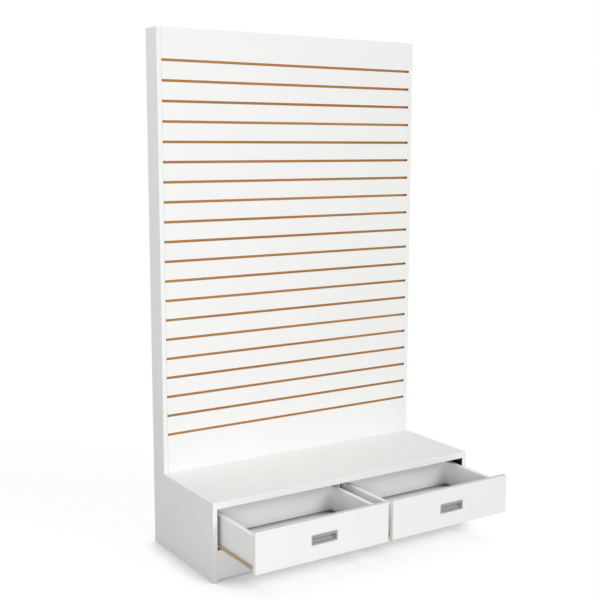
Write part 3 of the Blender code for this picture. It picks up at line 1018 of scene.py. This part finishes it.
@dataclass
class RunnerSet:
    """One side's runners of a drawer, with their rollers and screws."""

    workshop: Workshop
    hand: Hand
    place: Place
    sheet: float = 0.0012
    wall_gap: float = 0.0003
    screw_count: int = 3
    screw_end: float = 0.055
    bore_radius: float = 0.00235
    hub_radius: float = 0.0042
    tread_depth: float = 0.0013
    web_sink: float = 0.0009
    tread_round: float = 0.0007
    round_steps: int = 4
    turns: int = 48

    @property
    def stem(self) -> str:
        """What the names of this set's nodes start with."""
        return f"{self.hand.drawer}_{self.place.value}"

    @property
    def toward_drawer(self) -> Side:
        """The way from the cabinet to the drawer box."""
        outer = self.place is Place.OUTER
        return Side.RIGHT if (self.hand is Hand.LEFT) == outer else Side.LEFT

    @property
    def toward_cabinet(self) -> Side:
        """The way from the drawer box to the cabinet."""
        return Side.LEFT if self.toward_drawer is Side.RIGHT else Side.RIGHT

    def dress(self) -> None:
        """Coat both runners and mould both rollers."""
        self.workshop.paint(f"{self.stem}_cabinet_runner", Coat.EPOXY)
        self.workshop.paint(f"{self.stem}_drawer_runner", Coat.EPOXY)
        for end in ("front", "rear"):
            self._mould_roller(f"{self.stem}_{end}_roller")

    def _mould_roller(self, node: str) -> None:
        """Turn a roller with a round tread and a sunk web in place of the CAD one.

        Args:
            node: The CAD roller, which is also the name of its body.
        """
        low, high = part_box(node)
        middle = (low + high) / 2
        radius = (high.z - low.z) / 2
        half = (high.x - low.x) / 2
        rim = radius - self.tread_depth
        web = half - self.web_sink
        bend = self.tread_round
        side = [(half, self.bore_radius), (half, self.hub_radius)]
        side += [(web, self.hub_radius + self.web_sink), (web, rim - self.web_sink), (half, rim)]
        side += arc((half - bend, radius - bend), bend, 0.0, 90.0, self.round_steps)
        profile = side + [(-x, r) for x, r in reversed(side)]
        angles = [2 * math.pi * i / self.turns for i in range(self.turns)]
        loops = []
        for x, r in profile:
            loops.append([middle + Vector((x, r * math.cos(a), r * math.sin(a))) for a in angles])
        mesh = loft(loops, True)
        self.workshop.add_piece(f"{node}_moulding", mesh, Coat.NYLON, node, "nylon", [node])

    def cabinet_screws(self) -> ScrewRow:
        """Place the screws that hold the cabinet runner, inside its channel.

        Returns:
            Their row.
        """
        low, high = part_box(f"{self.stem}_cabinet_runner")
        x = low.x + self.sheet if self.toward_drawer is Side.RIGHT else high.x - self.sheet
        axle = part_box(f"{self.stem}_front_roller")
        return self._row(x, low, high, (axle[0].z + axle[1].z) / 2, self.toward_drawer)

    def drawer_screws(self) -> ScrewRow:
        """Place the screws that hold the drawer runner to the box.

        Returns:
            Their row.
        """
        low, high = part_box(f"{self.stem}_drawer_runner")
        lift = self.sheet + self.wall_gap
        if self.toward_cabinet is Side.LEFT:
            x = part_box(f"{self.hand.drawer}_left_side")[0].x - lift
        else:
            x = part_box(f"{self.hand.drawer}_right_side")[1].x + lift
        return self._row(x, low, high, (low.z + high.z) / 2, self.toward_cabinet)

    def _row(self, x: float, low: Vector, high: Vector, z: float, facing: Side) -> ScrewRow:
        """Place a row of screws along a runner.

        Args:
            x: The face that the heads lie on.
            low: Lowest corner of the runner.
            high: Highest corner of the runner.
            z: Height of the row.
            facing: The way the heads face.

        Returns:
            The row, clear of the runner's ends.
        """
        start = low.y + self.screw_end
        step = (high.y - low.y - 2 * self.screw_end) / (self.screw_count - 1)
        return ScrewRow(Vector((x, start, z)), Vector((0, step, 0)), facing, self.screw_count)


@dataclass
class Drawer:
    """One drawer: its box, its front with the pull, and its runners."""

    workshop: Workshop
    screws: ScrewRows
    hand: Hand
    box_screw_columns: int = 4
    box_screw_inset: float = 0.06
    box_screw_levels: tuple[float, float] = (0.3, 0.75)

    def build(self) -> None:
        """Dress the drawer and add what the CAD leaves out."""
        name = self.hand.drawer
        # The walls' tops take the whiter band, which is painted light near the deck's shade.
        edges = {Side.TOP: Coat.BRIGHT_BAND, Side.UNDER: Coat.SAWN_EDGE}
        # The front's top edge takes the grey band, which is painted shade.
        self.workshop.paint(f"{name}_front", Coat.MELAMINE, {Side.TOP: Coat.EDGE_BAND})
        for wall in ("inner_front", "left_side", "right_side", "back"):
            self.workshop.paint(f"{name}_{wall}", Coat.MELAMINE, edges)
        self.workshop.paint(f"{name}_bottom", Coat.DRAWER_FLOOR)
        Pull(self.workshop, self.screws, self.hand).build()
        runners = [RunnerSet(self.workshop, self.hand, place) for place in Place]
        for runner in runners:
            runner.dress()
        rows = [runner.cabinet_screws() for runner in runners]
        self.screws.add(f"{name}_cabinet_runner_screws", rows, RUNNER_SCREW, FRAME_BODY)
        rows = [runner.drawer_screws() for runner in runners]
        self.screws.add(f"{name}_drawer_runner_screws", rows, RUNNER_SCREW, name)
        self._fasten_front()

    def _fasten_front(self) -> None:
        """Screw the front to the box from inside, in two levels."""
        name = self.hand.drawer
        low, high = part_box(f"{name}_inner_front")
        step = (high.x - low.x - 2 * self.box_screw_inset) / (self.box_screw_columns - 1)
        rows = []
        for level in self.box_screw_levels:
            start = Vector((low.x + self.box_screw_inset, high.y, low.z + (high.z - low.z) * level))
            rows.append(ScrewRow(start, Vector((step, 0, 0)), Side.BACK, self.box_screw_columns))
        self.screws.add(f"{name}_front_screws", rows, BOX_SCREW, name)


@dataclass(frozen=True)
class Lamp:
    """A broad far lamp: its level on a face turned to it, and where it hangs as seen from the tower."""

    name: str
    level: float
    right_deg: float
    up_deg: float
    spread_deg: float

    def hang(self) -> None:
        """Add the lamp to the scene."""
        lamp = bpy.data.lights.new(self.name, "SUN")
        lamp.energy = self.level * math.pi
        lamp.angle = math.radians(self.spread_deg)
        up = math.radians(self.up_deg)
        right = math.radians(self.right_deg)
        away = Vector((math.sin(right) * math.cos(up), -math.cos(right) * math.cos(up), math.sin(up)))
        put(self.name, lamp).rotation_euler = away.to_track_quat("Z", "Y").to_euler()


@dataclass(frozen=True)
class Softbox:
    """A near square lamp: its level on a face at the point that it is aimed at, and its place."""

    name: str
    level: float
    place: tuple[float, float, float]
    aim: tuple[float, float, float]
    width: float

    def hang(self) -> None:
        """Add the lamp to the scene."""
        away = Vector(self.place) - Vector(self.aim)
        lamp = bpy.data.lights.new(self.name, "AREA")
        lamp.size = self.width
        lamp.energy = self.level * (math.pi * away.length) ** 2
        turn = away.to_track_quat("Z", "Y").to_matrix().to_4x4()
        put(self.name, lamp).matrix_world = Matrix.Translation(self.place) @ turn


@dataclass
class Studio:
    """A white studio: an even sky, a far key lamp, two softboxes, a pale floor and the camera."""

    sky_level: float = 0.43
    key: Lamp = Lamp("key_lamp", 0.44, 36.0, 38.0, 30.0)
    fill: Softbox = Softbox("fill_softbox", 0.25, (-3.4, -4.8, 1.6), (0.0, 0.0, 1.0), 1.2)
    side: Softbox = Softbox("side_softbox", 0.155, (-2.4, 0.35, 2.7), (-0.61, 0.05, 1.7), 1.0)
    floor_colour: str = "#E4E4E4"
    # Dark colour of the sheet inside the base, which is painted shade.
    inside_colour: str = "#4A4A4C"
    # The floor's painted shade near what stands on it: its reach, the occlusion it spans, its darkest
    # level and its rays.
    shade_reach: float = 0.16
    shade_share: tuple[float, float] = (0.42, 0.76)
    shade_level: float = 0.40
    shade_rays: int = 8
    shadow_share: float = 0.08
    floor_half: float = 60.0
    floor_drop: float = 0.0005
    lens_mm: float = 62.393
    sensor_mm: float = 36.0
    camera_place: tuple[float, float, float] = (-2.3125, -3.4696, 1.5963)
    camera_right_deg: float = 32.859
    camera_down_deg: float = 8.485
    camera_roll_deg: float = 0.113
    camera_reach: float = 240.0

    def _seen(self, tree: Tree) -> Socket:
        """Tell rays that look from rays that carry light.

        Args:
            tree: The tree that asks.

        Returns:
            One for rays from the camera, from gloss and through glass, and zero for the rest.
        """
        path = add_node(tree, "ShaderNodeLightPath").node.outputs
        looks = {0: path["Is Camera Ray"], 1: path["Is Glossy Ray"]}
        both = add_node(tree, "ShaderNodeMath", looks, operation="ADD")
        glass = {0: both, 1: path["Is Transmission Ray"]}
        return add_node(tree, "ShaderNodeMath", glass, operation="ADD", use_clamp=True)

    def light(self) -> None:
        """Set the sky, which looks white, and hang the lamps."""
        world = bpy.data.worlds.new("white_sky")
        bpy.context.scene.world = world
        world.use_nodes = True
        tree = world.node_tree
        levels = {"Factor": self._seen(tree), "A": self.sky_level, "B": 1.0}
        level = add_node(tree, "ShaderNodeMix", levels, data_type="FLOAT")
        feed(tree, tree.nodes["Background"], {"Color": WHITE, "Strength": level})
        for lamp in (self.key, self.fill, self.side):
            lamp.hang()

    def floor(self) -> None:
        """Lay a pale floor that looks white but for painted shade near what stands on it and a faint
        real shadow, and dark paper inside the base, whose dark colour is painted shade.
        """
        far = self.floor_half
        low = Vector((-far, -far, -self.floor_drop))
        self._lay("floor", low, Vector((far, far, 0)), self._white_paper)
        # A dark sheet inside the base: painted shade where the white floor would glow.
        left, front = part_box("base_left_side")[1].x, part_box("base_kick_rail")[1].y
        right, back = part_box("base_right_side")[0].x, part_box("base_back_panel")[0].y
        low = Vector((left, front, -self.floor_drop / 2))
        self._lay("floor_inside_shade", low, Vector((right, back, 0)), self._dark_paper)

    @staticmethod
    def _lay(name: str, low: Vector, high: Vector, paper: Callable[[Tree], Socket]) -> None:
        """Lay a flat sheet of paper on the stage.

        Args:
            name: Its name.
            low: The corner at its lowest x and y, which also sets its height.
            high: The corner at its highest x and y.
            paper: Adds the paper's nodes to a tree and returns its shader.
        """
        material = bpy.data.materials.new(f"{name}_paper")
        material.use_nodes = True
        tree = material.node_tree
        tree.nodes.remove(tree.nodes["Principled BSDF"])
        feed(tree, tree.nodes["Material Output"], {"Surface": paper(tree)})
        bm = bmesh.new()
        places = ((low.x, low.y), (high.x, low.y), (high.x, high.y), (low.x, high.y))
        bm.faces.new([bm.verts.new((x, y, low.z)) for x, y in places])
        mesh = mesh_of(bm)
        mesh.materials.append(material)
        put(name, mesh)

    def _white_paper(self, tree: Tree) -> Socket:
        """Make matt paper that glows white to the camera, with painted shade where something stands
        close over it, and a small share of real light and shadow.

        Args:
            tree: The material's tree.

        Returns:
            The paper's shader.
        """
        seen = self._seen(tree)
        fallen = self.sky_level + self.key.level * math.sin(math.radians(self.key.up_deg))
        share = self.shadow_share / fallen
        colours = {"Factor": seen, "A": linear(self.floor_colour), "B": (share, share, share, 1.0)}
        colour = add_node(tree, "ShaderNodeMix", colours, data_type="RGBA")
        matt = add_node(tree, "ShaderNodeBsdfDiffuse", {"Color": colour})
        # Ambient occlusion sets the glow's level: painted shade, which no lamp casts.
        reach = {"Distance": self.shade_reach}
        openness = add_node(tree, "ShaderNodeAmbientOcclusion", reach, "AO", samples=self.shade_rays)
        shade = {
            "Value": openness,
            "From Min": self.shade_share[0],
            "From Max": self.shade_share[1],
            "To Min": self.shade_level,
            "To Max": 1.0 - self.shadow_share,
        }
        level = add_node(tree, "ShaderNodeMapRange", shade)
        glow = add_node(tree, "ShaderNodeEmission", {"Strength": level})
        white = add_node(tree, "ShaderNodeMixShader", {0: seen, 2: glow})
        return add_node(tree, "ShaderNodeAddShader", {0: matt, 1: white})

    def _dark_paper(self, tree: Tree) -> Socket:
        """Return matt paper that shows only the light that falls on it, in a dark colour that is painted
        shade inside the base.
        """
        return add_node(tree, "ShaderNodeBsdfDiffuse", {"Color": linear(self.inside_colour)})

    def camera(self) -> None:
        """Stand the camera where the photograph was taken from."""
        lens = bpy.data.cameras.new("camera")
        lens.lens = self.lens_mm
        lens.sensor_width = self.sensor_mm
        lens.sensor_fit = "HORIZONTAL"
        lens.clip_end = self.camera_reach
        camera = put("camera", lens)
        turn = Matrix.Rotation(math.radians(-self.camera_right_deg), 4, "Z")
        tilt = Matrix.Rotation(math.radians(90.0 - self.camera_down_deg), 4, "X")
        roll = Matrix.Rotation(math.radians(self.camera_roll_deg), 4, "Z")
        camera.matrix_world = Matrix.Translation(self.camera_place) @ turn @ tilt @ roll
        bpy.context.scene.camera = camera

    def build(self) -> None:
        """Set the whole studio."""
        bpy.context.scene.view_settings.view_transform = "Standard"
        self.light()
        self.floor()
        self.camera()


def clear_scene() -> None:
    """Remove the objects that Blender starts with."""
    for obj in list(bpy.data.objects):
        bpy.data.objects.remove(obj, do_unlink=True)


def main() -> None:
    """Load the frame, dress each sub-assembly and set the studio."""
    logging.basicConfig(level=logging.INFO, format="%(name)s: %(message)s")
    clear_scene()
    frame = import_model()
    workshop = Workshop(frame["nodes"])
    screws = ScrewRows(workshop)
    tower = Tower(workshop, screws)
    tower.dress()
    tower.fasten()
    BaseCabinet(workshop).dress()
    for hand in Hand:
        Drawer(workshop, screws, hand).build()
    Studio().build()


if __name__ == "__main__":
    main()
